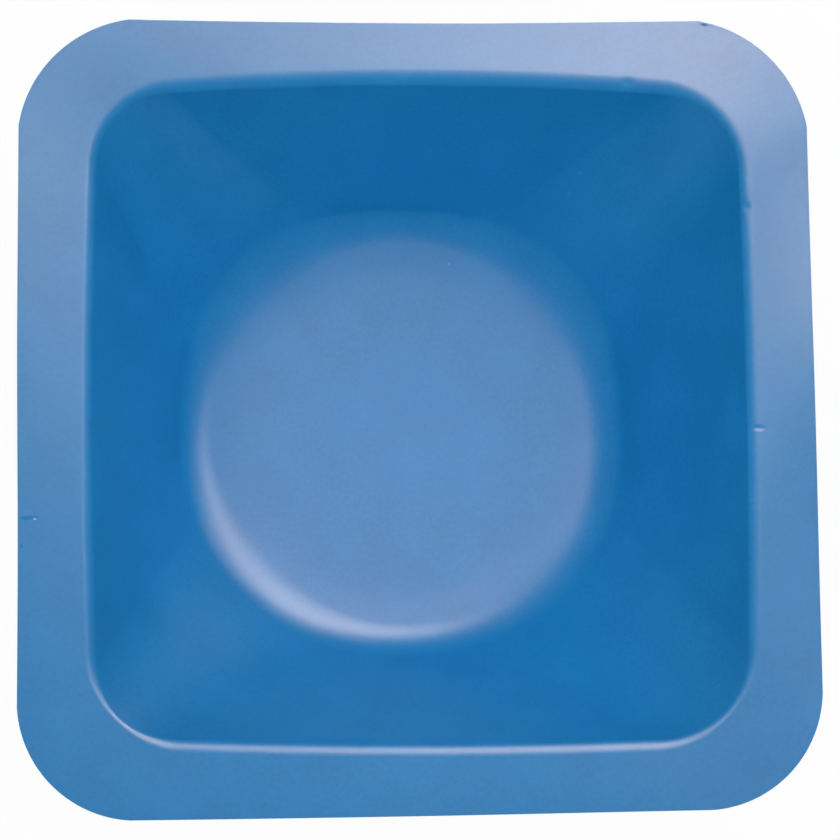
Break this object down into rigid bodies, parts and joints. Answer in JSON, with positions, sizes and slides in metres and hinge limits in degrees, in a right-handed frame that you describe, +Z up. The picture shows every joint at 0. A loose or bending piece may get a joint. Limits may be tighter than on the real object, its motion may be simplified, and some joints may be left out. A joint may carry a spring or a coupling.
{
  "type": "weighing boat",
  "caption": "Square weighing boat: flat cut rim, folded lip, walls that pass from a rounded square opening to a flat round base, formed from thin blue sheet.",
  "frame": {"origin": "centre of the base's underside, which the boat stands on", "axes": "+Z up through the middle of the round base and square opening, +X and +Y square to the rim's straight edges"},
  "size_m": [0.085, 0.085, 0.024],
  "materials": {
    "boat": "satin, vacuum formed anti-static polystyrene sheet"
  },
  "bodies": {
    "root": {"boat": "boat"}
  },
  "joints": []
}
